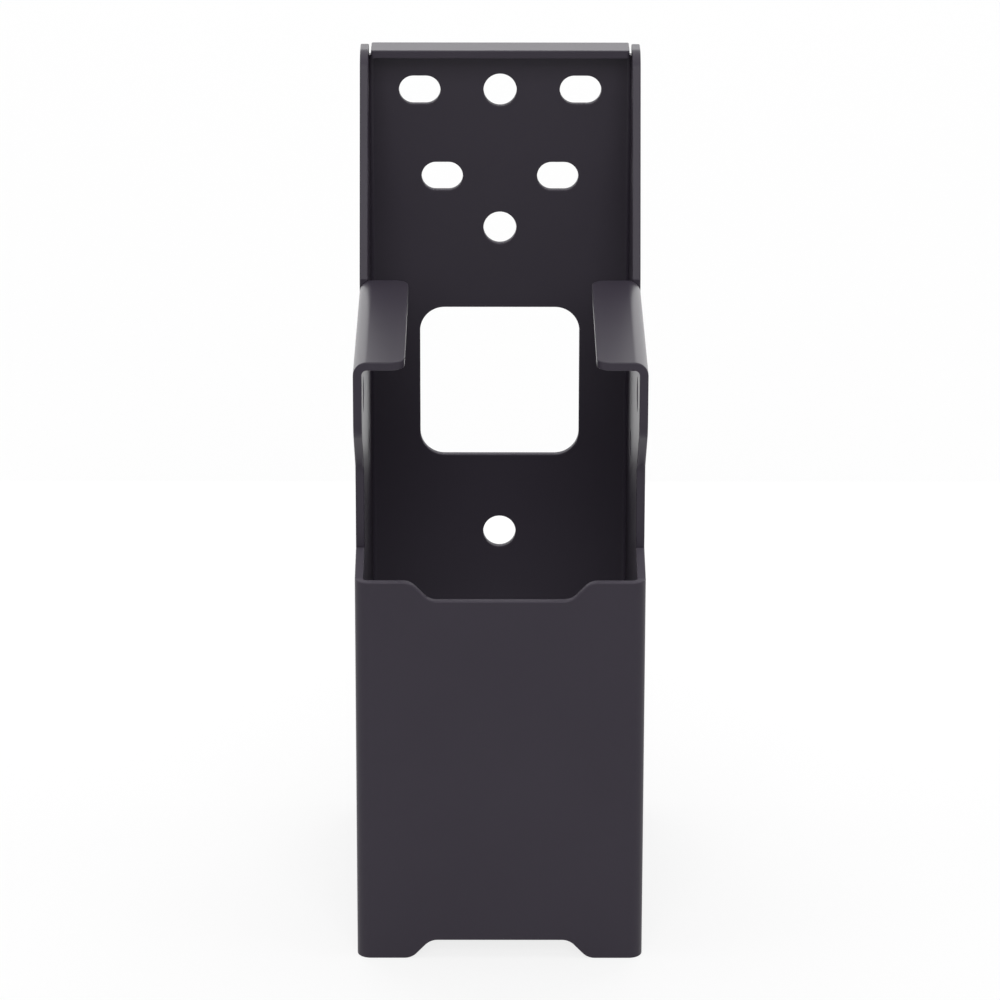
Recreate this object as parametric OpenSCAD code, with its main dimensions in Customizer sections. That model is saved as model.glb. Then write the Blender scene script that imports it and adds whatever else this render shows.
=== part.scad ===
// Display mounting plate: a folded sheet-steel bracket for a wall.
// The back plate carries the wall slots and holes. Its side walls fold forward, and their
// tops turn inward as two tabs. A folded cover closes the front of the lower half.
// The bracket stands on its feet, with the wall behind it (+Y) and its open front at -Y.

/* [Sheet] */
// Thickness of the steel sheet
sheet_t = 2; // [1.5:0.1:2.5]
// Inside radius of every bend
bend_r = 1.2; // [0.8:0.1:2]
// Width of the slits between the tabs and the walls' sloping edges
slit_w = 0.6; // [0.4:0.1:1]

/* [Body] */
// Width over the side walls
body_w = 67; // [62:1:90]
// Height from the feet to the top of the lip
body_h = 198; // [194:1:240]
// Depth from the wall face to the front of the ears and of the cover
body_d = 97; // [90:1:120]

/* [Top lip] */
// Reach of the lip from the wall face
lip_reach = 11; // [8:0.5:14]
// Gap between each end of the lip and the side wall
lip_gap = 0.6; // [0.4:0.1:1.6]

/* [Side walls] */
// Reach at which the walls' tops begin, in front of the notches beside the lip
wall_top_start = 3.8; // [3:0.2:6]
// Reach of the walls at the top, up to the corner that is rounded
wall_top_reach = 13.2; // [11:0.2:18]
// Radius of the walls' top corner
wall_top_r = 5.5; // [3:0.5:7]
// Reach of the sloping upper edge where it comes down to the tab
wall_mid_reach = 31; // [28:1:40]
// Reach of the walls below the ears, where the cover is welded on
wall_low_reach = 81; // [78:1:84]
// Height of the ears' lower front corner
ear_z = 130; // [124:1:132]
// Drop of the sloping edge under each ear
ear_drop = 13.4; // [10:0.2:18]
// Radius of the ears' lower front corner
ear_corner_r = 6; // [3:0.5:7]
// Radius where the sloping edge meets the lower wall
ear_root_r = 3; // [2:0.5:5]

/* [Tabs] */
// Height of the tabs' top face
tab_z = 147; // [145:1:152]
// Reach of each tab, inward from the outer face of its wall
tab_reach = 11.7; // [8:0.1:16]
// Radius of the tabs' free corners
tab_corner_r = 3.5; // [1:0.25:5]

/* [Wall slots] */
// Length of a slot
slot_l = 10; // [8:0.5:12]
// Width of a slot
slot_w = 7; // [5:0.5:8]
// Spacing of the upper pair of slots
upper_slot_spacing = 38.8; // [36:0.2:44]
// Drop from the top of the lip to the upper pair of slots
upper_slot_drop = 12; // [10:0.5:14]
// Spacing of the lower pair of slots
lower_slot_spacing = 28; // [24:0.2:34]
// Drop from the upper pair of slots to the lower pair
lower_slot_drop = 21.5; // [18:0.5:24]

/* [Wall holes] */
// Diameter of the round holes in the back plate
wall_hole_d = 8; // [5:0.5:9]
// Drop from the upper hole, which lies between the upper slots, to the middle hole
middle_hole_drop = 34.5; // [31:0.5:36]
// Drop from the upper hole to the lower hole, below the window
lower_hole_drop = 112.8; // [106:0.1:126]

/* [Window] */
// Width of the cable window
window_w = 39; // [30:1:46]
// Height of the cable window
window_h = 38; // [30:1:40]
// Drop from the upper hole to the window's centre
window_drop = 73.7; // [70:0.1:78]
// Corner radius of the window
window_r = 6; // [3:0.5:10]

/* [Side holes] */
// Diameter of the holes through both side walls
side_hole_d = 8; // [5:0.5:9]
// Height of the front side hole
front_hole_z = 134; // [131:0.5:135]
// Reach of the front side hole from the wall face
front_hole_reach = 80; // [70:0.5:82]
// Height of the rear side hole
rear_hole_z = 105.5; // [100:0.5:120]
// Reach of the rear side hole from the wall face
rear_hole_reach = 31; // [20:0.5:40]

/* [Front cover] */
// Height of the cover's front face at its corners
cover_h = 94; // [86:1:98]
// Rise of the cover's side edges, from the front bends to the weld
cover_rise = 3.3; // [0:0.1:5]
// Width of the flat part of the dip in the top edge and of the notch between the feet
cutout_w = 32.6; // [24:0.2:36]
// Sideways run of the cut-outs' sloping ends
cutout_run = 4.4; // [3:0.1:6]
// Depth of the cut-outs
cutout_h = 4.6; // [3:0.1:6]
// Radius of the cut-outs' four corners
cutout_r = 4; // [1:0.25:5]

/* [Hidden] */
$fn = 64;
powder_black = [0.16, 0.15, 0.165];
// How far a cut runs past the face that it cuts
past = 1;
// Height of the strip of plate or wall that the lip and the tabs share below their bends
root_h = 1;
// Outside radius of a bend
bend_outer = bend_r + sheet_t;
// Width between the side walls
inner_w = body_w - 2 * sheet_t;
// Heights at which the lip and the tabs start to bend
lip_bend_z = body_h - bend_outer;
tab_bend_z = tab_z - bend_outer;
// The tabs start one slit in front of the sloping edge
tab_back_reach = wall_mid_reach + slit_w;
// Places of the wall slots and holes
upper_row_z = body_h - upper_slot_drop;
lower_row_z = upper_row_z - lower_slot_drop;
middle_hole_z = upper_row_z - middle_hole_drop;
lower_hole_z = upper_row_z - lower_hole_drop;
window_z = upper_row_z - window_drop;

// Polygon with rounded corners. A convex corner is cut off between its tangent points and
// gets a circle's segment back; an inward corner is filled and loses one. Points run
// counter-clockwise, and a radius of 0 leaves its corner sharp.
module rounded_outline(points, radii) {
    count = len(points);
    before = [for (i = [0 : count - 1]) points[(i + count - 1) % count] - points[i]];
    after = [for (i = [0 : count - 1]) points[(i + 1) % count] - points[i]];
    half = [for (i = [0 : count - 1]) corner_angle(before[i], after[i]) / 2];
    from = [for (i = [0 : count - 1]) points[i] + radii[i] / tan(half[i]) * unit(before[i])];
    to = [for (i = [0 : count - 1]) points[i] + radii[i] / tan(half[i]) * unit(after[i])];
    middle = [for (i = [0 : count - 1])
        points[i] + radii[i] / sin(half[i]) * unit(unit(before[i]) + unit(after[i]))];
    rounded = [for (i = [0 : count - 1]) if (radii[i] > 0) i];
    inward = [for (i = rounded) if (cross(before[i], after[i]) > 0) i];
    outward = [for (i = rounded) if (cross(before[i], after[i]) < 0) i];
    difference() {
        union() {
            polygon([for (i = [0 : count - 1], p = radii[i] > 0 ? [from[i], to[i]] : [points[i]]) p]);
            for (i = outward) corner_segment([from[i], points[i], to[i]], middle[i], radii[i]);
        }
        for (i = inward) corner_segment([from[i], points[i], to[i]], middle[i], radii[i]);
    }
}

// The part of a circle that lies inside a corner's triangle
module corner_segment(triangle, middle, radius) {
    intersection() {
        polygon(triangle);
        translate(middle) circle(radius);
    }
}

function unit(v) = v / norm(v);

function corner_angle(a, b) = acos(unit(a) * unit(b));

// Quarter ring of a bend, in the first quadrant, round the bend's axis
module bend_section() {
    intersection() {
        difference() {
            circle(bend_outer);
            circle(bend_r);
        }
        square(bend_outer);
    }
}

// Folded channel seen along its bends: a web on the X axis, with a wall at each end
module channel_section(reach) {
    translate([-body_w / 2 + bend_outer, 0]) square([body_w - 2 * bend_outer, sheet_t]);
    for (side = [-1, 1]) scale([side, 1]) {
        translate([body_w / 2 - bend_outer, bend_outer]) mirror([0, 1]) bend_section();
        translate([body_w / 2 - sheet_t, bend_outer]) square([sheet_t, reach - bend_outer]);
    }
}

// Turns an outline of depth and height into a solid across the width
module across(width) {
    translate([-width / 2, 0, 0]) rotate([90, 0, 90]) linear_extrude(width) children();
}

// Turns an outline of width and height into a solid over a stretch of depth
module along_depth(start, depth) {
    translate([0, start + depth, 0]) rotate([90, 0, 0]) linear_extrude(depth) children();
}

// Side view of the back plate and of one side wall, without lip and tab
module wall_outline() {
    rounded_outline(
        [
            [0, 0],
            [wall_low_reach, 0],
            [wall_low_reach, ear_z - ear_drop],
            [body_d, ear_z],
            [body_d, tab_bend_z],
            [wall_mid_reach, tab_bend_z],
            [wall_mid_reach, tab_z],
            [wall_top_reach, body_h],
            [0, body_h],
        ],
        [0, 0, ear_root_r, ear_corner_r, 0, 0, 0, wall_top_r, 0]
    );
}

// Back plate and side walls, folded. Plate and bends end where the lip starts to bend, which
// leaves a notch between each end of the lip and the top of its wall.
module plate_and_walls() {
    difference() {
        intersection() {
            linear_extrude(body_h) channel_section(body_d);
            across(body_w) wall_outline();
        }
        translate([-body_w / 2 - past, -past, lip_bend_z])
            cube([body_w + 2 * past, wall_top_start + past, bend_outer + past]);
    }
}

// Lip that folds forward from the top of the back plate, with the strip of plate below it
module lip() {
    across(inner_w - 2 * lip_gap) {
        translate([0, lip_bend_z - root_h]) square([sheet_t, root_h]);
        translate([bend_outer, lip_bend_z]) mirror([1, 0]) bend_section();
        translate([bend_outer, body_h - sheet_t]) square([lip_reach - bend_outer, sheet_t]);
    }
}

// Tab that folds inward from the top of the right-hand wall, with the strip of wall below it
module tab() {
    outer_x = body_w / 2;
    inner_x = outer_x - tab_reach;
    intersection() {
        along_depth(tab_back_reach, body_d - tab_back_reach) {
            translate([outer_x - sheet_t, tab_bend_z - root_h]) square([sheet_t, root_h]);
            translate([outer_x - bend_outer, tab_bend_z]) bend_section();
            translate([inner_x, tab_z - sheet_t]) square([tab_reach - bend_outer, sheet_t]);
        }
        linear_extrude(tab_z + past) rounded_outline(
            [
                [inner_x, tab_back_reach],
                [outer_x, tab_back_reach],
                [outer_x, body_d],
                [inner_x, body_d],
            ],
            [tab_corner_r, 0, 0, tab_corner_r]
        );
    }
}

// Round ends of the slits behind the tabs
module slit_ends() {
    for (side = [-1, 1])
        translate([side * (body_w / 2 - sheet_t / 2), wall_mid_reach + slit_w / 2, tab_bend_z])
            rotate([0, 90, 0]) cylinder(d = slit_w, h = sheet_t + 2 * past, center = true);
}

// Round hole through the back plate
module plate_hole(x, z) {
    translate([x, -past, z]) rotate([-90, 0, 0]) cylinder(d = wall_hole_d, h = sheet_t + 2 * past);
}

// Level slot through the back plate, with round ends
module plate_slot(x, z) {
    for (side = [-1, 1]) translate([x + side * (slot_l - slot_w) / 2, -past, z]) rotate([-90, 0, 0])
        cylinder(d = slot_w, h = sheet_t + 2 * past);
    translate([x - (slot_l - slot_w) / 2, -past, z - slot_w / 2])
        cube([slot_l - slot_w, sheet_t + 2 * past, slot_w]);
}

// Window through the back plate
module plate_window() {
    along_depth(-past, sheet_t + 2 * past) rounded_outline(
        [
            [-window_w / 2, window_z - window_h / 2],
            [window_w / 2, window_z - window_h / 2],
            [window_w / 2, window_z + window_h / 2],
            [-window_w / 2, window_z + window_h / 2],
        ],
        [window_r, window_r, window_r, window_r]
    );
}

// Hole through both side walls
module side_hole(reach, z) {
    translate([0, reach, z]) rotate([0, 90, 0]) cylinder(d = side_hole_d, h = body_w + 2 * past, center = true);
}

// Cut-out that narrows from an edge on the X axis, with four rounded corners
module cutout_section() {
    mouth_w = cutout_w + 2 * cutout_run;
    edge_w = body_w - 2 * bend_outer;
    rounded_outline(
        [
            [-edge_w / 2, -past],
            [edge_w / 2, -past],
            [edge_w / 2, 0],
            [mouth_w / 2, 0],
            [cutout_w / 2, cutout_h],
            [-cutout_w / 2, cutout_h],
            [-mouth_w / 2, 0],
            [-edge_w / 2, 0],
        ],
        [0, 0, 0, cutout_r, cutout_r, cutout_r, cutout_r, 0]
    );
}

// Side view of the cover, whose top edge rises from the front bends to the weld
module cover_outline() {
    polygon([
        [wall_low_reach, 0],
        [body_d, 0],
        [body_d, cover_h],
        [body_d - bend_outer, cover_h],
        [wall_low_reach, cover_h + cover_rise],
    ]);
}

// Turns the bracket from its building position, with the wall face at Y = 0 and the front
// towards +Y, to its own frame: origin under the middle of its box, front towards -Y
module in_place() {
    translate([0, body_d / 2, 0]) rotate([0, 0, 180]) children();
}

module mounting_plate() {
    color(powder_black) in_place() difference() {
        union() {
            plate_and_walls();
            lip();
            tab();
            mirror([1, 0, 0]) tab();
        }
        slit_ends();
        for (side = [-1, 1]) {
            plate_slot(side * upper_slot_spacing / 2, upper_row_z);
            plate_slot(side * lower_slot_spacing / 2, lower_row_z);
        }
        plate_hole(0, upper_row_z);
        plate_hole(0, middle_hole_z);
        plate_hole(0, lower_hole_z);
        plate_window();
        side_hole(front_hole_reach, front_hole_z);
        side_hole(rear_hole_reach, rear_hole_z);
    }
}

module front_cover() {
    color(powder_black) in_place() difference() {
        intersection() {
            translate([0, body_d, 0]) mirror([0, 1, 0]) linear_extrude(cover_h + cover_rise)
                channel_section(body_d - wall_low_reach);
            across(body_w) cover_outline();
        }
        along_depth(body_d - sheet_t - past, sheet_t + 2 * past) {
            cutout_section();
            translate([0, cover_h]) mirror([0, 1]) cutout_section();
        }
    }
}

mounting_plate();
front_cover();
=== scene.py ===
"""Display mounting plate: a folded, powder-coated sheet-steel wall bracket on a pale studio floor.

Each of its two pieces starts as a flat blank. The blank's edge lines are laid out in the plane of
the sheet, the cut edge is a rounded profile carried along them, and one function folds every point
of the blank into its place. Sizes are in millimetres up to the last step, which makes them metres.
"""

from __future__ import annotations

import logging
import math
from dataclasses import dataclass, field
from enum import Enum
from itertools import chain

import bpy
import numpy as np
from mathutils import Matrix, Vector
from mathutils.geometry import delaunay_2d_cdt

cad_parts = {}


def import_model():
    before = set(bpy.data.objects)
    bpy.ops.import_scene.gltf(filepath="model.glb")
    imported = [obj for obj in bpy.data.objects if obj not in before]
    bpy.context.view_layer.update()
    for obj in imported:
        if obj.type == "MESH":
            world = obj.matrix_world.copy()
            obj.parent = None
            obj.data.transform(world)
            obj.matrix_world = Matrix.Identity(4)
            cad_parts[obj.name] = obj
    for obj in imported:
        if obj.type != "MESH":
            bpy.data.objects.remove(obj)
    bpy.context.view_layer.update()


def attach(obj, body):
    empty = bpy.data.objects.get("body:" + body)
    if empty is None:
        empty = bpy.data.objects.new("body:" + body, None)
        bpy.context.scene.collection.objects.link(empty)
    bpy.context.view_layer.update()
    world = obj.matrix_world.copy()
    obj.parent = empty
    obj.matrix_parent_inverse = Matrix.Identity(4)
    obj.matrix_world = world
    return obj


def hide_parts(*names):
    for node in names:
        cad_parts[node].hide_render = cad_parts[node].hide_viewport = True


LOG = logging.getLogger("mounting_plate")
EDGE_ATTRIBUTE = "cut_edge"
MM = 0.001  # one millimetre in metres
BEYOND = 1e4  # further out than any blank reaches
SAME_POINT = 1e-6  # points of an edge line that lie nearer than this are one point
ON_LINE = 1e-9  # how near a point lies to a fold line that passes through it
MERGED = 1e-7  # points that lie nearer than this are merged when a blank is divided
CORNER_STEPS = 12  # steps in the arc at a blank's corner
HOLE_STEPS = 16  # steps in each of the four arcs of a hole


class Axis(Enum):
    """Direction in the flat blank: across its width, or up its height."""

    ACROSS = 0
    UP = 1


def unit(vectors: np.ndarray) -> np.ndarray:
    """Returns the vectors of the last axis scaled to length 1."""
    return vectors / np.linalg.norm(vectors, axis=-1, keepdims=True)


def sheet_directions(*rows: tuple[np.ndarray, np.ndarray, np.ndarray]) -> np.ndarray:
    """Stacks the directions across, up and into the sheet, each given by its three parts."""
    return np.stack([np.stack(row, axis=1) for row in rows], axis=1)


@dataclass(frozen=True)
class SheetSteel:
    """The stock that both pieces are folded from.

    Attributes:
        thickness: thickness of the sheet.
        bend_radius: radius on the inside of a bend.
        edge_radius: radius that rounds both sides of a cut edge, as deburring and coating do.
        edge_steps: steps in the quarter circle of that radius.
        bend_steps: steps in a bend.
    """

    thickness: float = 2.0
    bend_radius: float = 1.2
    edge_radius: float = 0.28
    edge_steps: int = 3
    bend_steps: int = 10

    @property
    def outer_radius(self) -> float:
        """Radius on the outside of a bend."""
        return self.bend_radius + self.thickness

    @property
    def bend_length(self) -> float:
        """Length of blank that one bend takes up, along the middle of the sheet."""
        return math.pi / 2 * (self.bend_radius + self.thickness / 2)

    def bend_lines(self, start: float) -> np.ndarray:
        """Returns the places of the lines that divide a bend which begins at start."""
        return start + np.linspace(0, self.bend_length, self.bend_steps + 1)

    def bend(
        self, run: np.ndarray, depth: np.ndarray
    ) -> tuple[np.ndarray, np.ndarray, np.ndarray]:
        """Carries points of the blank round a right-angle bend.

        The bend turns by run over the bend's length, up to a quarter turn. A point lies at the
        outer radius less its depth from the bend's axis, and past the bend it goes straight on.

        Args:
            run: distance past the line where the bend starts, negative before it.
            depth: depth below the outer face.

        Returns:
            Distance along the first leg, distance along the second leg, and the turned angle.
        """
        angle = np.clip(run / self.bend_length, 0, 1) * math.pi / 2
        radius = self.outer_radius - depth
        along = np.minimum(run, 0) + radius * np.sin(angle)
        rise = self.outer_radius - radius * np.cos(angle) + np.maximum(run - self.bend_length, 0)
        return along, rise, angle


@dataclass(frozen=True)
class BracketSizes:
    """Sizes that both pieces share, the same as the solids'.

    Attributes:
        body_width: width over the side walls and over the cover.
        body_height: height from the feet to the top face of the lip.
        body_depth: distance from the wall face to the cover's front.
        wall_reach: distance from the wall face to the seam between side walls and cover.
    """

    body_width: float = 67.0
    body_height: float = 198.0
    body_depth: float = 97.0
    wall_reach: float = 81.0


@dataclass
class EdgeLoop:
    """Closed edge line of a blank, with the sheet on its left.

    Attributes:
        cut: points on the cut edge.
        inner: the same points drawn in by the edge radius, where the flat face begins.
        outward: directions that point out of the sheet.
        matt: how matt the coat is on this cut edge, from 0 as on the faces to 1.
    """

    cut: np.ndarray
    inner: np.ndarray
    outward: np.ndarray
    matt: float

    @classmethod
    def rounded(
        cls, corners: np.ndarray, draw_in: float, matt: float, steps: int = CORNER_STEPS
    ) -> EdgeLoop:
        """Builds a loop from corners that are rounded by arcs.

        An arc's outward direction turns evenly from the normal of the edge before the corner to
        that of the edge after it. Its centre lies on the corner's middle line, radius over the
        cosine of half the turn away, and each point lies one radius from that centre.

        Args:
            corners: rows of across, up and radius.
            draw_in: distance from the cut edge to the inner line.
            matt: how matt the coat is on the cut edge.
            steps: number of steps in each arc.

        Returns:
            The loop, in the order of its corners.
        """
        points, radius = corners[:, :2], corners[:, 2]
        ahead = unit(np.roll(points, -1, axis=0) - points)
        behind = np.roll(ahead, 1, axis=0)
        normal_before = behind[:, ::-1] * (1, -1)
        normal_after = ahead[:, ::-1] * (1, -1)
        cross = behind[:, 0] * ahead[:, 1] - behind[:, 1] * ahead[:, 0]
        turn = np.arctan2(cross, np.sum(behind * ahead, axis=1))
        reach = np.sign(turn) * radius
        centre = points - (reach / np.cos(turn / 2))[:, None] * unit(normal_before + normal_after)
        start = np.arctan2(normal_before[:, 1], normal_before[:, 0])
        angle = start[:, None] + turn[:, None] * np.linspace(0, 1, steps + 1)
        outward = np.stack([np.cos(angle), np.sin(angle)], axis=-1)
        cut = (centre[:, None] + reach[:, None, None] * outward).reshape(-1, 2)
        outward = outward.reshape(-1, 2)
        keep = np.linalg.norm(np.roll(cut, -1, axis=0) - cut, axis=1) > SAME_POINT
        cut, outward = cut[keep], outward[keep]
        return cls(cut, cut - draw_in * outward, outward, matt)

    @classmethod
    def hole(
        cls,
        centre: tuple[float, float],
        size: tuple[float, float],
        radius: float,
        draw_in: float,
    ) -> EdgeLoop:
        """Builds a hole's loop: a rectangle of that size, with its corners rounded by radius.

        The powder reaches the inside of a hole thinly, so its edge is fully matt.

        Args:
            centre: place across and up.
            size: width and height.
            radius: radius of the corners, which is half the size for a round hole.
            draw_in: distance from the cut edge to the inner line.

        Returns:
            The loop, clockwise.
        """
        half = np.array(size) / 2
        corners = np.array([[-1, -1], [-1, 1], [1, 1], [1, -1]]) * half + centre
        corners = np.column_stack([corners, np.full(4, radius)])
        return cls.rounded(corners, draw_in, matt=1.0, steps=HOLE_STEPS)

    def split(self, axis: Axis, level: float) -> None:
        """Adds a point wherever the inner line crosses a level of one axis.

        Between two points of the loop everything changes evenly, so the new point's values are
        the two points' values mixed by its share of the way.

        Args:
            axis: the axis on which the crossed line has one level.
            level: that level.
        """
        here = self.inner[:, axis.value] - level
        there = np.roll(here, -1)
        hits = np.flatnonzero(here * there < 0)
        share = (here[hits] / (here[hits] - there[hits]))[:, None]
        after = (hits + 1) % len(here)
        cut = self.cut[hits] * (1 - share) + self.cut[after] * share
        inner = self.inner[hits] * (1 - share) + self.inner[after] * share
        outward = unit(self.outward[hits] * (1 - share) + self.outward[after] * share)
        inner[:, axis.value] = level
        self.cut = np.insert(self.cut, hits + 1, cut, axis=0)
        self.inner = np.insert(self.inner, hits + 1, inner, axis=0)
        self.outward = np.insert(self.outward, hits + 1, outward, axis=0)


@dataclass
class FoldLine:
    """Straight line across a blank on which its faces are divided.

    Attributes:
        axis: the axis on which the line has one level.
        level: that level.
        low: where the line starts on the other axis.
        high: where it ends there.
    """

    axis: Axis
    level: float
    low: float = -BEYOND
    high: float = BEYOND


def inside(points: np.ndarray, loops: list[EdgeLoop]) -> np.ndarray:
    """Says which points lie in the blank, by counting the inner lines to the right of each.

    Args:
        points: rows of across and up.
        loops: the blank's outline and holes.

    Returns:
        True for each point with an odd count.
    """
    start = np.concatenate([loop.inner for loop in loops])
    end = np.concatenate([np.roll(loop.inner, -1, axis=0) for loop in loops])
    x, y = points[:, :1], points[:, 1:]
    spans = (start[:, 1] > y) != (end[:, 1] > y)
    rise = np.where(start[:, 1] == end[:, 1], 1.0, end[:, 1] - start[:, 1])
    crossing = start[:, 0] + (y - start[:, 1]) / rise * (end[:, 0] - start[:, 0])
    return np.sum(spans & (crossing > x), axis=1) % 2 == 1


class FoldedPiece:
    """A piece of sheet steel that is cut as a flat blank and folded.

    A sub-class gives its outline, holes, fold lines and the way its points are folded.

    Attributes:
        name: the piece's name.
        matt: how matt the coat is on the outline's cut edge.
        sheet: the stock that the piece is cut from.
        sizes: the sizes that it shares with the other piece.
    """

    name: str
    matt: float
    sheet: SheetSteel
    sizes: BracketSizes

    @property
    def web_half(self) -> float:
        """Half the width of the web, the flat middle between the bends of the side walls."""
        return self.sizes.body_width / 2 - self.sheet.outer_radius

    def outline(self) -> EdgeLoop:
        """Returns the blank's outer edge line, counter-clockwise."""
        raise NotImplementedError

    def holes(self) -> list[EdgeLoop]:
        """Returns the edge lines of the blank's holes, clockwise."""
        return []

    def fold_lines(self) -> list[FoldLine]:
        """Returns the lines that divide the blank's faces in its bends."""
        raise NotImplementedError

    def fold(self, flat: np.ndarray, depth: np.ndarray) -> tuple[np.ndarray, np.ndarray]:
        """Folds points of the blank.

        Args:
            flat: rows of across and up.
            depth: depth of each point below the outer face.

        Returns:
            Points, and for each the three directions across, up and into the sheet. They are in
            the bench frame: x across the bracket, the wall's distance, and the height.
        """
        raise NotImplementedError

    def fold_channel(
        self, across: np.ndarray, depth: np.ndarray
    ) -> tuple[np.ndarray, np.ndarray, np.ndarray, np.ndarray]:
        """Folds a blank into a channel: a flat web with a wall bent up at each side.

        Args:
            across: distance from the blank's middle line.
            depth: depth below the outer face.

        Returns:
            Place across the bracket, distance from the web's outer face, side (-1 or 1) and
            turned angle.
        """
        side = np.where(across < 0, -1.0, 1.0)
        along, rise, angle = self.sheet.bend(np.abs(across) - self.web_half, depth)
        return side * (self.web_half + along), rise, side, angle

    def divide(self, loops: list[EdgeLoop]) -> tuple[np.ndarray, np.ndarray, np.ndarray]:
        """Divides the blank's flat face into triangles along its fold lines.

        The triangles first fill the whole hull of the loops, and those that lie outside the
        sheet are left out.

        Args:
            loops: outline and holes. The outline gets a point wherever a fold line meets it.

        Returns:
            The face's points, its triangles, and the point that stands for each loop point.
        """
        lines = self.fold_lines()
        for line in lines:
            loops[0].split(line.axis, line.level)
        rim = np.concatenate([loop.inner for loop in loops])
        lengths = [len(loop.inner) for loop in loops]
        firsts = np.cumsum([0, *lengths[:-1]])
        edges = [
            np.column_stack([np.arange(length), np.roll(np.arange(length), -1)]) + first
            for first, length in zip(firsts, lengths)
        ]
        for line in lines:
            other = 1 - line.axis.value
            met = np.flatnonzero(np.abs(rim[:, line.axis.value] - line.level) < ON_LINE)
            met = met[(rim[met, other] > line.low) & (rim[met, other] < line.high)]
            met = met[np.argsort(rim[met, other])]
            pairs = np.column_stack([met[:-1], met[1:]])
            edges.append(pairs[inside(rim[pairs].mean(axis=1), loops)])
        points, _, triangles, origins, _, _ = delaunay_2d_cdt(
            [Vector(p) for p in rim.tolist()], np.concatenate(edges).tolist(), [], 0, MERGED
        )
        stands_for = np.full(len(rim), -1)
        sources = np.fromiter(chain.from_iterable(origins), dtype=int)
        stands_for[sources] = np.repeat(np.arange(len(origins)), [len(group) for group in origins])
        points = np.array([p[:] for p in points], dtype=float)
        points[stands_for] = rim
        triangles = np.array(triangles)
        triangles = triangles[inside(points[triangles].mean(axis=1), loops)]
        return points, triangles, stands_for

    def build(self) -> bpy.types.Object:
        """Makes the folded piece as a closed mesh with exact normals.

        The two flat faces are the divided blank at depth 0 and at the sheet's thickness. Between
        them an edge profile runs along every loop: a quarter circle of the edge radius, a
        straight cut, and a second quarter circle.

        Returns:
            The new object, in place in the row's frame.
        """
        sheet = self.sheet
        loops = [self.outline(), *self.holes()]
        points, triangles, stands_for = self.divide(loops)
        count = len(points)
        angles = np.linspace(0, math.pi / 2, sheet.edge_steps + 1)[1:]
        angles = np.concatenate([angles, angles[::-1]])
        steps = len(angles)
        far = np.arange(steps) >= sheet.edge_steps
        near_depth = sheet.edge_radius * (1 - np.cos(angles))
        depths = np.where(far, sheet.thickness - near_depth, near_depth)
        reach = np.sin(angles)[:, None, None]
        sink = (np.cos(angles) * np.where(far, 1, -1))[:, None, None]
        flat, depth = [points, points], [np.zeros(count), np.full(count, sheet.thickness)]
        facing = [np.tile([0.0, 0.0, -1.0], (count, 1)), np.tile([0.0, 0.0, 1.0], (count, 1))]
        edge = [np.zeros(2 * count)]
        quads, first, done = [], 2 * count, 0
        for loop in loops:
            # The edge's points stand in rows, one for each step of the profile. The rings of the
            # two flat faces are its first and last rows, so that the mesh is closed.
            size = len(loop.cut)
            ring = stands_for[done : done + size]
            done += size
            flat.append((loop.inner + (loop.cut - loop.inner) * reach).reshape(-1, 2))
            depth.append(np.repeat(depths, size))
            sideways = np.broadcast_to(loop.outward, (steps, size, 2)) * reach
            into = np.broadcast_to(sink, (steps, size, 1))
            facing.append(np.concatenate([sideways, into], axis=2).reshape(-1, 3))
            edge.append(np.repeat(np.sin(angles) * loop.matt, size))
            middle = first + np.arange(steps * size).reshape(steps, size)
            first += middle.size
            rows = np.vstack([ring, middle, ring + count])
            ahead = np.roll(rows, -1, axis=1)
            corners = [rows[:-1], rows[1:], ahead[1:], ahead[:-1]]
            quads.append(np.stack(corners, axis=-1).reshape(-1, 4))
        place, directions = self.fold(np.concatenate(flat), np.concatenate(depth))
        normals = unit(np.einsum("ij,ijk->ik", np.concatenate(facing), directions))
        far_face = triangles[:, ::-1] + count
        faces = [*triangles.tolist(), *far_face.tolist(), *np.concatenate(quads).tolist()]
        return self.to_object(place, normals, faces, np.concatenate(edge))

    def to_object(
        self, place: np.ndarray, normals: np.ndarray, faces: list[list[int]], edge: np.ndarray
    ) -> bpy.types.Object:
        """Turns bench points into an object in the row's frame.

        The bench's wall face lies at distance 0 with the front ahead; half a turn about the
        height puts the front at -Y, and half the depth puts the origin under the middle.

        Args:
            place: bench points.
            normals: their normals.
            faces: the mesh's faces.
            edge: how matt the coat is at each point, from 0 on a face to 1 on a matt cut edge.

        Returns:
            The linked object.
        """
        turn = np.array([-1.0, -1.0, 1.0])
        place = (place - (0, self.sizes.body_depth / 2, 0)) * turn * MM
        mesh = bpy.data.meshes.new(self.name)
        mesh.from_pydata(place.tolist(), [], faces)
        matt = mesh.attributes.new(EDGE_ATTRIBUTE, "FLOAT", "POINT")
        matt.data.foreach_set("value", edge.astype(np.float32))
        mesh.validate()
        mesh.shade_smooth()
        mesh.normals_split_custom_set_from_vertices((normals * turn).tolist())
        mesh.update()
        piece = bpy.data.objects.new(self.name, mesh)
        bpy.context.scene.collection.objects.link(piece)
        return piece


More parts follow.
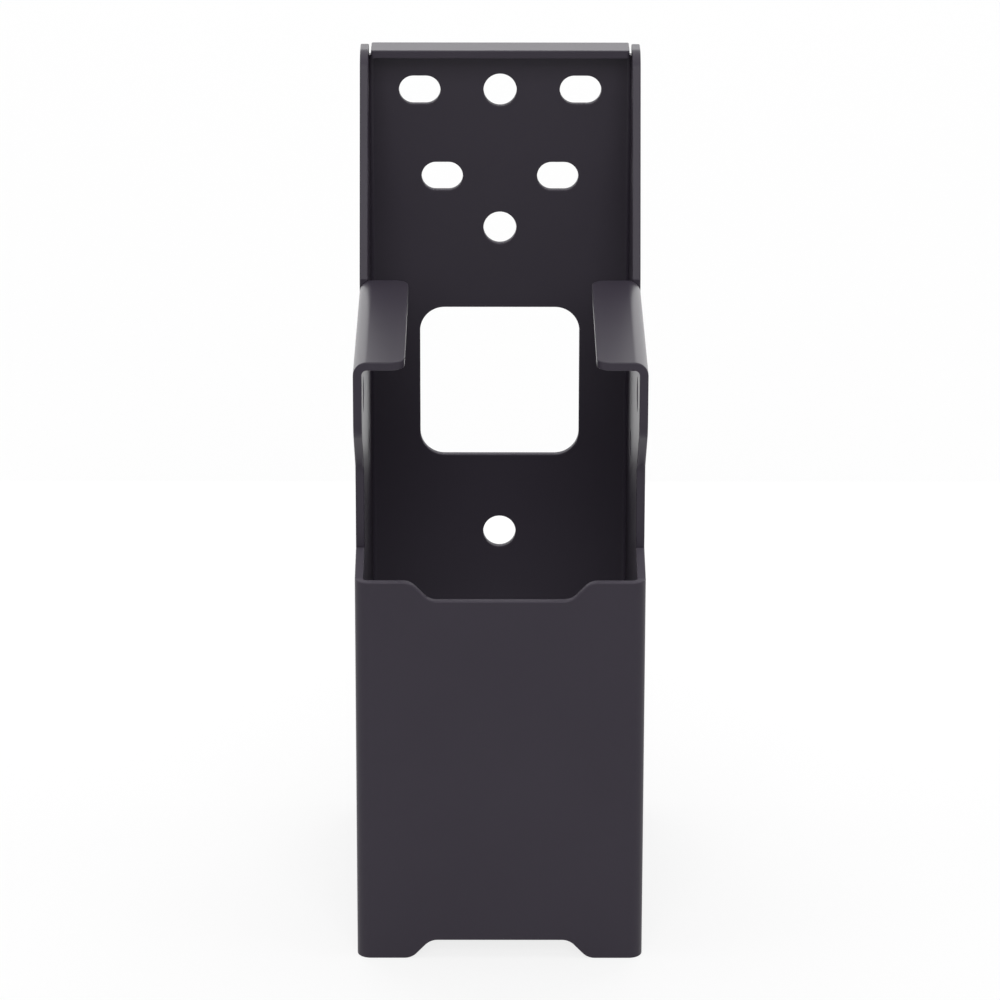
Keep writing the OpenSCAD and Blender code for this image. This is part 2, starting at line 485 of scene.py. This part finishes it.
@dataclass
class MountingPlate(FoldedPiece):
    """The back plate with its side walls, ears, tabs and lip.

    A reach is a distance from the wall face, and a height is above the feet.

    Attributes:
        lip_reach: reach of the lip's front edge.
        lip_gap: gap between each end of the lip and the inside of the side wall.
        slit_width: width of the slits that free the tabs' bends.
        wall_top_start: reach where a side wall's top edge begins, in front of its bend.
        wall_top_reach: reach of the corner between a side wall's top and sloping edges.
        wall_top_radius: radius of that corner.
        wall_mid_reach: reach where the sloping edge ends, behind the tab.
        ear_height: height of an ear's lower front corner.
        ear_drop: how far an ear's lower edge falls towards the side wall.
        ear_corner_radius: radius of the ear's lower front corner.
        ear_root_radius: radius where the ear meets the side wall's front edge.
        tab_height: height of the tabs' outer face.
        tab_reach: how far a tab reaches in from the side wall's outer face.
        tab_corner_radius: radius of a tab's two free corners.
        small_radius: radius of the plain corners.
        notch_radius: radius in the notches beside the lip.
        slot_size: width and height of a slot.
        upper_slots: spacing and height of the upper pair of slots.
        lower_slots: spacing and height of the lower pair of slots.
        hole_diameter: diameter of every round hole.
        hole_heights: heights of the round holes on the plate's middle line.
        window_size: width and height of the window.
        window_height: height of the window's centre.
        window_radius: radius of the window's corners.
        side_holes: reach and height of each hole through a side wall.
    """

    name: str = "mounting_plate_sheet"
    matt: float = 0.0
    sheet: SheetSteel = field(default_factory=SheetSteel)
    sizes: BracketSizes = field(default_factory=BracketSizes)
    lip_reach: float = 11.0
    lip_gap: float = 0.6
    slit_width: float = 0.6
    wall_top_start: float = 3.8
    wall_top_reach: float = 13.2
    wall_top_radius: float = 5.5
    wall_mid_reach: float = 31.0
    ear_height: float = 130.0
    ear_drop: float = 13.4
    ear_corner_radius: float = 6.0
    ear_root_radius: float = 3.0
    tab_height: float = 147.0
    tab_reach: float = 11.7
    tab_corner_radius: float = 3.5
    small_radius: float = 0.6
    notch_radius: float = 0.3
    slot_size: tuple[float, float] = (10.0, 7.0)
    upper_slots: tuple[float, float] = (38.8, 186.0)
    lower_slots: tuple[float, float] = (28.0, 164.5)
    hole_diameter: float = 8.0
    hole_heights: tuple[float, float, float] = (186.0, 151.5, 73.2)
    window_size: tuple[float, float] = (39.0, 38.0)
    window_height: float = 112.3
    window_radius: float = 6.0
    side_holes: tuple[tuple[float, float], ...] = ((80.0, 134.0), (31.0, 105.5))

    @property
    def lip_start(self) -> float:
        """Height where the lip's bend begins."""
        return self.sizes.body_height - self.sheet.outer_radius

    @property
    def lip_half(self) -> float:
        """Half the width of the lip."""
        return self.sizes.body_width / 2 - self.sheet.thickness - self.lip_gap

    @property
    def inner_half(self) -> float:
        """Half the clear width between the side walls, within which the lip's bend lies."""
        return self.lip_half + self.lip_gap

    @property
    def tab_start(self) -> float:
        """Height where the tabs' bends begin."""
        return self.tab_height - self.sheet.outer_radius

    @property
    def tab_from(self) -> float:
        """Place across of the middle of the slit, past which the blank belongs to the tab."""
        return self.across(self.wall_mid_reach + self.slit_width / 2)

    def across(self, reach: float) -> float:
        """Returns the blank's place across for a reach of the side wall from the wall face."""
        return self.web_half + self.sheet.bend_length + reach - self.sheet.outer_radius

    def outline(self) -> EdgeLoop:
        """Lays out the outline: the corners of the right half, then their mirror images.

        Returns:
            The outline, counter-clockwise from the right side wall's foot.
        """
        sheet, top = self.sheet, self.sizes.body_height
        wall_front = self.across(self.sizes.wall_reach)
        wall_mid = self.across(self.wall_mid_reach)
        wall_top = self.across(self.wall_top_reach)
        ear_front = self.across(self.sizes.body_depth)
        tab_back = self.across(self.wall_mid_reach + self.slit_width)
        tab_edge = self.tab_start + sheet.bend_length + self.tab_reach - sheet.outer_radius
        lip_edge = self.lip_start + sheet.bend_length + self.lip_reach - sheet.outer_radius
        slit_radius = self.slit_width / 2
        slit_foot = self.tab_start - slit_radius
        notch_end = self.across(self.wall_top_start)
        right = np.array(
            [
                [wall_front, 0, self.small_radius],
                [wall_front, self.ear_height - self.ear_drop, self.ear_root_radius],
                [ear_front, self.ear_height, self.ear_corner_radius],
                [ear_front, tab_edge, self.tab_corner_radius],
                [tab_back, tab_edge, self.tab_corner_radius],
                [tab_back, slit_foot, slit_radius],
                [wall_mid, slit_foot, slit_radius],
                [wall_mid, self.tab_height, self.small_radius],
                [wall_top, top, self.wall_top_radius],
                [notch_end, top, self.small_radius],
                [notch_end, self.lip_start, self.notch_radius],
                [self.lip_half, self.lip_start, self.notch_radius],
                [self.lip_half, lip_edge, self.small_radius],
            ]
        )
        left = right[::-1] * (-1, 1, 1)
        return EdgeLoop.rounded(np.vstack([right, left]), sheet.edge_radius, self.matt)

    def holes(self) -> list[EdgeLoop]:
        """Lays out the slots, the round holes, the window and the side walls' holes.

        Returns:
            Their loops, clockwise.
        """
        draw_in, slot_radius = self.sheet.edge_radius, self.slot_size[1] / 2
        round_size, round_radius = (self.hole_diameter, self.hole_diameter), self.hole_diameter / 2
        slots = [
            EdgeLoop.hole((side * spacing / 2, height), self.slot_size, slot_radius, draw_in)
            for spacing, height in (self.upper_slots, self.lower_slots)
            for side in (-1, 1)
        ]
        rounds = [
            EdgeLoop.hole((0, height), round_size, round_radius, draw_in)
            for height in self.hole_heights
        ]
        window_place = (0, self.window_height)
        window = EdgeLoop.hole(window_place, self.window_size, self.window_radius, draw_in)
        sides = [
            EdgeLoop.hole((side * self.across(reach), height), round_size, round_radius, draw_in)
            for reach, height in self.side_holes
            for side in (-1, 1)
        ]
        return [*slots, *rounds, window, *sides]

    def fold_lines(self) -> list[FoldLine]:
        """Lays out the lines in the bends of the side walls, the lip and the tabs.

        Returns:
            The lines. Those of the lip and the tabs end where their own part of the blank does.
        """
        walls = [
            FoldLine(Axis.ACROSS, side * level)
            for side in (-1, 1)
            for level in self.sheet.bend_lines(self.web_half)
        ]
        lip = [
            FoldLine(Axis.UP, level, -self.inner_half, self.inner_half)
            for level in self.sheet.bend_lines(self.lip_start)
        ]
        tabs = [
            FoldLine(Axis.UP, level, low, high)
            for level in self.sheet.bend_lines(self.tab_start)
            for low, high in ((-BEYOND, -self.tab_from), (self.tab_from, BEYOND))
        ]
        return [*walls, *lip, *tabs]

    def fold(self, flat: np.ndarray, depth: np.ndarray) -> tuple[np.ndarray, np.ndarray]:
        """Folds the side walls forward, then the lip forward and the tabs inward.

        The lip keeps its place across, and its bend's travel is its distance from the wall. The
        tabs' bend replaces the side wall's place across by the half width less its travel.

        Args:
            flat: rows of across and up.
            depth: depth of each point below the outer face.

        Returns:
            Points and their three directions, in the bench frame.
        """
        across, up = flat.T
        x, distance, side, angle = self.fold_channel(across, depth)
        z, zero, one = up.copy(), np.zeros_like(x), np.ones_like(x)
        directions = sheet_directions(
            (np.cos(angle), side * np.sin(angle), zero),
            (zero, zero, one),
            (-side * np.sin(angle), np.cos(angle), zero),
        )
        lip = (up > self.lip_start) & (np.abs(across) < self.inner_half)
        along, rise, turn = self.sheet.bend(up - self.lip_start, depth)
        x[lip], distance[lip], z[lip] = across[lip], rise[lip], (self.lip_start + along)[lip]
        lip_directions = sheet_directions(
            (one, zero, zero),
            (zero, np.sin(turn), np.cos(turn)),
            (zero, np.cos(turn), -np.sin(turn)),
        )
        directions[lip] = lip_directions[lip]
        tab = (up > self.tab_start) & (np.abs(across) > self.tab_from)
        along, rise, turn = self.sheet.bend(up - self.tab_start, depth)
        z[tab] = (self.tab_start + along)[tab]
        x[tab] = (side * (self.sizes.body_width / 2 - rise))[tab]
        tab_directions = sheet_directions(
            (zero, side, zero),
            (-side * np.sin(turn), zero, np.cos(turn)),
            (-side * np.cos(turn), zero, -np.sin(turn)),
        )
        directions[tab] = tab_directions[tab]
        return np.stack([x, distance, z], axis=1), directions


@dataclass
class FrontCover(FoldedPiece):
    """The cover that closes the front of the lower half.

    Attributes:
        height: height of the cover's front.
        rise: how far the side edges rise above it towards the side walls.
        cutout_width: width of the level part of the dip, and of the notch between the feet.
        cutout_run: distance across that each of their slanting ends takes up.
        cutout_height: depth of the dip, and height of the notch.
        cutout_radius: radius of their corners.
        small_radius: radius of the plain corners.
    """

    name: str = "front_cover_sheet"
    matt: float = 1.0
    sheet: SheetSteel = field(default_factory=SheetSteel)
    sizes: BracketSizes = field(default_factory=BracketSizes)
    height: float = 94.0
    rise: float = 3.3
    cutout_width: float = 32.6
    cutout_run: float = 4.4
    cutout_height: float = 4.6
    cutout_radius: float = 4.0
    small_radius: float = 0.6

    def outline(self) -> EdgeLoop:
        """Lays out the outline: the corners of the right half, then their mirror images.

        Returns:
            The outline, counter-clockwise from the right end of the notch between the feet.
        """
        return_start = self.web_half + self.sheet.bend_length
        return_reach = self.sizes.body_depth - self.sizes.wall_reach
        seam = return_start + return_reach - self.sheet.outer_radius
        narrow, wide = self.cutout_width / 2, self.cutout_width / 2 + self.cutout_run
        right = np.array(
            [
                [narrow, self.cutout_height, self.cutout_radius],
                [wide, 0, self.cutout_radius],
                [seam, 0, self.small_radius],
                [seam, self.height + self.rise, self.small_radius],
                [return_start, self.height, self.small_radius],
                [wide, self.height, self.cutout_radius],
                [narrow, self.height - self.cutout_height, self.cutout_radius],
            ]
        )
        left = right[::-1] * (-1, 1, 1)
        return EdgeLoop.rounded(np.vstack([right, left]), self.sheet.edge_radius, self.matt)

    def fold_lines(self) -> list[FoldLine]:
        """Lays out the lines in the two bends.

        Returns:
            The lines, which run the whole height of the blank.
        """
        levels = self.sheet.bend_lines(self.web_half)
        return [FoldLine(Axis.ACROSS, side * level) for side in (-1, 1) for level in levels]

    def fold(self, flat: np.ndarray, depth: np.ndarray) -> tuple[np.ndarray, np.ndarray]:
        """Folds the returns back from the front face, which lies at the full depth.

        Across runs the other way than on the plate, because the outer face looks forward.

        Args:
            flat: rows of across and up.
            depth: depth of each point below the outer face.

        Returns:
            Points and their three directions, in the bench frame.
        """
        across, up = flat.T
        x, distance, side, angle = self.fold_channel(across, depth)
        zero, one = np.zeros_like(x), np.ones_like(x)
        directions = sheet_directions(
            (-np.cos(angle), -side * np.sin(angle), zero),
            (zero, zero, one),
            (side * np.sin(angle), -np.cos(angle), zero),
        )
        return np.stack([-x, self.sizes.body_depth - distance, up], axis=1), directions


def seen(tree: bpy.types.NodeTree) -> bpy.types.NodeSocket:
    """Adds nodes that tell the rays which see a surface from those which light it.

    Args:
        tree: the node tree that the nodes are added to.

    Returns:
        An output that is 1 for camera, glossy and transmission rays, and 0 for the rest.
    """
    path = tree.nodes.new("ShaderNodeLightPath")
    first = tree.nodes.new("ShaderNodeMath")
    second = tree.nodes.new("ShaderNodeMath")
    first.operation = second.operation = "MAXIMUM"
    tree.links.new(path.outputs["Is Camera Ray"], first.inputs[0])
    tree.links.new(path.outputs["Is Glossy Ray"], first.inputs[1])
    tree.links.new(first.outputs["Value"], second.inputs[0])
    tree.links.new(path.outputs["Is Transmission Ray"], second.inputs[1])
    return second.outputs["Value"]


@dataclass(frozen=True)
class PowderCoat:
    """Satin black powder coat: nearly black, with a trace of violet and a fine orange peel.

    Attributes:
        colour: colour of the coat, linear.
        lighter: colour where the coat has drawn thin and on the cut edges, linear.
        specular: specular level, low because the coat's fine texture breaks up its shine.
        roughness: roughness of the open faces.
        edge_roughness: roughness on the matt cut edges.
        peel_size: size of the orange peel's bumps, in metres.
        peel_height: their height, in metres.
        peel_detail: finer layers in the orange peel.
        patch_scale: thin patches in a metre.
        patch_detail: finer layers in the patches.
        patch_from: level of the patches' pattern where the coat starts to thin.
        patch_to: level where it is thinnest.
        patch_share: share of the lighter colour there.
    """

    colour: tuple[float, float, float] = (0.0285, 0.0238, 0.0338)
    lighter: tuple[float, float, float] = (0.042, 0.0362, 0.049)
    specular: float = 0.18
    roughness: float = 0.42
    edge_roughness: float = 0.66
    peel_size: float = 0.0009
    peel_height: float = 0.000004
    peel_detail: float = 2.0
    patch_scale: float = 35.0
    patch_detail: float = 3.0
    patch_from: float = 0.35
    patch_to: float = 0.75
    patch_share: float = 0.15

    def material(self) -> bpy.types.Material:
        """Builds the coat's material.

        The orange peel is a fine noise that feeds the bump. The colour turns lighter by the
        larger of a broad noise, in faint patches, and the matt edge, which also sets the
        roughness.

        Returns:
            The material.
        """
        material = bpy.data.materials.new("powder_coat_satin_black")
        material.use_nodes = True
        tree = material.node_tree
        shader = tree.nodes["Principled BSDF"]
        shader.inputs["Specular IOR Level"].default_value = self.specular
        place = tree.nodes.new("ShaderNodeTexCoord")
        peel = tree.nodes.new("ShaderNodeTexNoise")
        peel.inputs["Scale"].default_value = 1 / self.peel_size
        peel.inputs["Detail"].default_value = self.peel_detail
        bump = tree.nodes.new("ShaderNodeBump")
        bump.inputs["Distance"].default_value = self.peel_height
        patches = tree.nodes.new("ShaderNodeTexNoise")
        patches.inputs["Scale"].default_value = self.patch_scale
        patches.inputs["Detail"].default_value = self.patch_detail
        thin = tree.nodes.new("ShaderNodeMapRange")
        thin.inputs["From Min"].default_value = self.patch_from
        thin.inputs["From Max"].default_value = self.patch_to
        thin.inputs["To Max"].default_value = self.patch_share
        edge = tree.nodes.new("ShaderNodeAttribute")
        edge.attribute_name = EDGE_ATTRIBUTE
        larger = tree.nodes.new("ShaderNodeMath")
        larger.operation = "MAXIMUM"
        colour = tree.nodes.new("ShaderNodeMix")
        colour.data_type = "RGBA"
        colour.inputs["A"].default_value = (*self.colour, 1)
        colour.inputs["B"].default_value = (*self.lighter, 1)
        rough = tree.nodes.new("ShaderNodeMapRange")
        rough.inputs["To Min"].default_value = self.roughness
        rough.inputs["To Max"].default_value = self.edge_roughness
        link = tree.links.new
        link(place.outputs["Object"], peel.inputs["Vector"])
        link(peel.outputs["Fac"], bump.inputs["Height"])
        link(bump.outputs["Normal"], shader.inputs["Normal"])
        link(place.outputs["Object"], patches.inputs["Vector"])
        link(patches.outputs["Fac"], thin.inputs["Value"])
        link(thin.outputs["Result"], larger.inputs[0])
        link(edge.outputs["Fac"], larger.inputs[1])
        link(larger.outputs["Value"], colour.inputs["Factor"])
        link(colour.outputs["Result"], shader.inputs["Base Color"])
        link(edge.outputs["Fac"], rough.inputs["Value"])
        link(rough.outputs["Result"], shader.inputs["Roughness"])
        return material


@dataclass(frozen=True)
class PaleFloor:
    """Plain pale floor, which the camera and reflections see as nearly white.

    Attributes:
        colour: colour of the floor, linear.
        roughness: its roughness.
        specular: its specular level.
        white_share: share of plain white where it is seen; the rest keeps the shadow.
    """

    colour: tuple[float, float, float] = (0.8, 0.8, 0.8)
    roughness: float = 0.9
    specular: float = 0.1
    white_share: float = 0.8

    def material(self) -> bpy.types.Material:
        """Builds the floor's material: a matt shader, mixed with white for the rays that see it.

        Returns:
            The material.
        """
        material = bpy.data.materials.new("pale_floor")
        material.use_nodes = True
        tree = material.node_tree
        shader = tree.nodes["Principled BSDF"]
        shader.inputs["Base Color"].default_value = (*self.colour, 1)
        shader.inputs["Roughness"].default_value = self.roughness
        shader.inputs["Specular IOR Level"].default_value = self.specular
        white = tree.nodes.new("ShaderNodeEmission")
        mix = tree.nodes.new("ShaderNodeMixShader")
        share = tree.nodes.new("ShaderNodeMath")
        share.operation = "MULTIPLY"
        share.inputs[1].default_value = self.white_share
        tree.links.new(seen(tree), share.inputs[0])
        tree.links.new(share.outputs["Value"], mix.inputs["Fac"])
        tree.links.new(shader.outputs["BSDF"], mix.inputs[1])
        tree.links.new(white.outputs["Emission"], mix.inputs[2])
        tree.links.new(mix.outputs["Shader"], tree.nodes["Material Output"].inputs["Surface"])
        return material


@dataclass(frozen=True)
class Lamp:
    """A soft box: a rectangular area lamp with the point that it is aimed at.

    Attributes:
        name: the lamp's name.
        place: its centre, in metres.
        size: its width and height, in metres.
        power: its power, in watts.
        aim: the point that it faces, in metres.
    """

    name: str
    place: tuple[float, float, float]
    size: tuple[float, float]
    power: float
    aim: tuple[float, float, float] = (0.0, 0.0, 0.1)


@dataclass
class Studio:
    """The floor, the soft light and the camera.

    The lamp floor_bounce lies in the bracket's open bottom and points up. It adds the light that
    a bright table throws up in there, which is more than this floor gives by itself.

    Attributes:
        floor_half: half the length of the floor's sides, in metres.
        floor_finish: the floor's finish.
        frame_pixels: width of the photograph's frame, in pixels.
        focal_pixels: focal length of the camera's lens, in pixels of that frame.
        sensor_width: width of the camera's sensor, in millimetres.
        camera_place: place of the camera, in metres.
        camera_pitch: how far it looks down, in degrees.
        camera_yaw: how far it looks to the right, in degrees.
        camera_roll: how far it leans about its line of sight, in degrees.
        lamps: the soft boxes.
    """

    floor_half: float = 6.0
    floor_finish: PaleFloor = field(default_factory=PaleFloor)
    frame_pixels: float = 1000.0
    focal_pixels: float = 5085.0
    sensor_width: float = 36.0
    camera_place: tuple[float, float, float] = (-0.00296, -1.14542, 0.4925)
    camera_pitch: float = 19.03
    camera_yaw: float = 0.149
    camera_roll: float = 0.098
    lamps: tuple[Lamp, ...] = (
        Lamp("overhead_box", (0.0, 0.0, 1.7), (1.6, 1.6), 16.0),
        Lamp("back_box", (0.0, 1.1, 1.0), (2.4, 1.4), 11.5),
        Lamp("horizon_box", (0.0, 1.5, 0.35), (2.4, 0.6), 5.6),
        Lamp("left_box", (-1.3, -0.1, 0.8), (1.2, 1.4), 6.1),
        Lamp("right_box", (1.3, -0.1, 0.8), (1.2, 1.4), 6.1),
        Lamp("front_box", (0.0, -1.6, 1.3), (1.4, 0.8), 15.5),
        Lamp("fill_box", (0.0, -1.5, 0.72), (1.2, 0.5), 5.5),
        Lamp("window_box", (0.0, 0.30, 0.07), (0.7, 0.13), 0.39, (0.0, 0.0, 0.07)),
        Lamp("floor_bounce", (0.0, 0.0, 0.002), (0.058, 0.088), 0.02),
    )

    def build(self) -> None:
        """Makes the camera, the floor, the lamps and the world."""
        self.camera()
        self.floor()
        for lamp in self.lamps:
            self.light(lamp)
        self.world()
        bpy.context.scene.view_settings.view_transform = "Standard"

    def camera(self) -> None:
        """Places the camera at the photograph's height, distance and pitch."""
        lens = bpy.data.cameras.new("camera")
        lens.sensor_width = self.sensor_width
        lens.lens = self.focal_pixels / self.frame_pixels * self.sensor_width
        camera = bpy.data.objects.new("camera", lens)
        camera.location = self.camera_place
        turns = ((-self.camera_yaw, "Z"), (90 - self.camera_pitch, "X"), (self.camera_roll, "Z"))
        yaw, pitch, roll = (Matrix.Rotation(math.radians(angle), 3, axis) for angle, axis in turns)
        camera.rotation_euler = (yaw @ pitch @ roll).to_euler()
        bpy.context.scene.collection.objects.link(camera)
        bpy.context.scene.camera = camera

    def floor(self) -> None:
        """Lays the floor: one square face, level with the feet."""
        half = self.floor_half
        mesh = bpy.data.meshes.new("floor")
        corners = [(-half, -half, 0), (half, -half, 0), (half, half, 0), (-half, half, 0)]
        mesh.from_pydata(corners, [], [(0, 1, 2, 3)])
        mesh.materials.append(self.floor_finish.material())
        floor = bpy.data.objects.new("floor", mesh)
        bpy.context.scene.collection.objects.link(floor)

    def light(self, lamp: Lamp) -> None:
        """Hangs one soft box and aims it.

        Args:
            lamp: the soft box.
        """
        data = bpy.data.lights.new(lamp.name, "AREA")
        data.shape = "RECTANGLE"
        data.size, data.size_y = lamp.size
        data.energy = lamp.power
        light = bpy.data.objects.new(lamp.name, data)
        light.location = lamp.place
        line = Vector(lamp.aim) - Vector(lamp.place)
        light.rotation_euler = line.to_track_quat("-Z", "Y").to_euler()
        light.visible_camera = False
        bpy.context.scene.collection.objects.link(light)

    def world(self) -> None:
        """Makes the surroundings: white where they are seen, and no light of their own."""
        world = bpy.data.worlds.new("studio")
        world.use_nodes = True
        bpy.context.scene.world = world
        background = world.node_tree.nodes["Background"]
        background.inputs["Color"].default_value = (1, 1, 1, 1)
        world.node_tree.links.new(seen(world.node_tree), background.inputs["Strength"])


def main() -> None:
    logging.basicConfig(level=logging.INFO, format="%(name)s: %(message)s")
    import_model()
    Studio().build()
    coat = PowderCoat().material()
    for piece, node in ((MountingPlate(), "mounting_plate"), (FrontCover(), "front_cover")):
        made = piece.build()
        made.data.materials.append(coat)
        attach(made, "root")
        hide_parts(node)
        solid = bpy.data.objects[node]
        solid.data.materials.clear()
        solid.data.materials.append(coat)
        points, faces = len(made.data.vertices), len(made.data.polygons)
        LOG.info("%s: %d points, %d faces", made.name, points, faces)


if __name__ == "__main__":
    main()
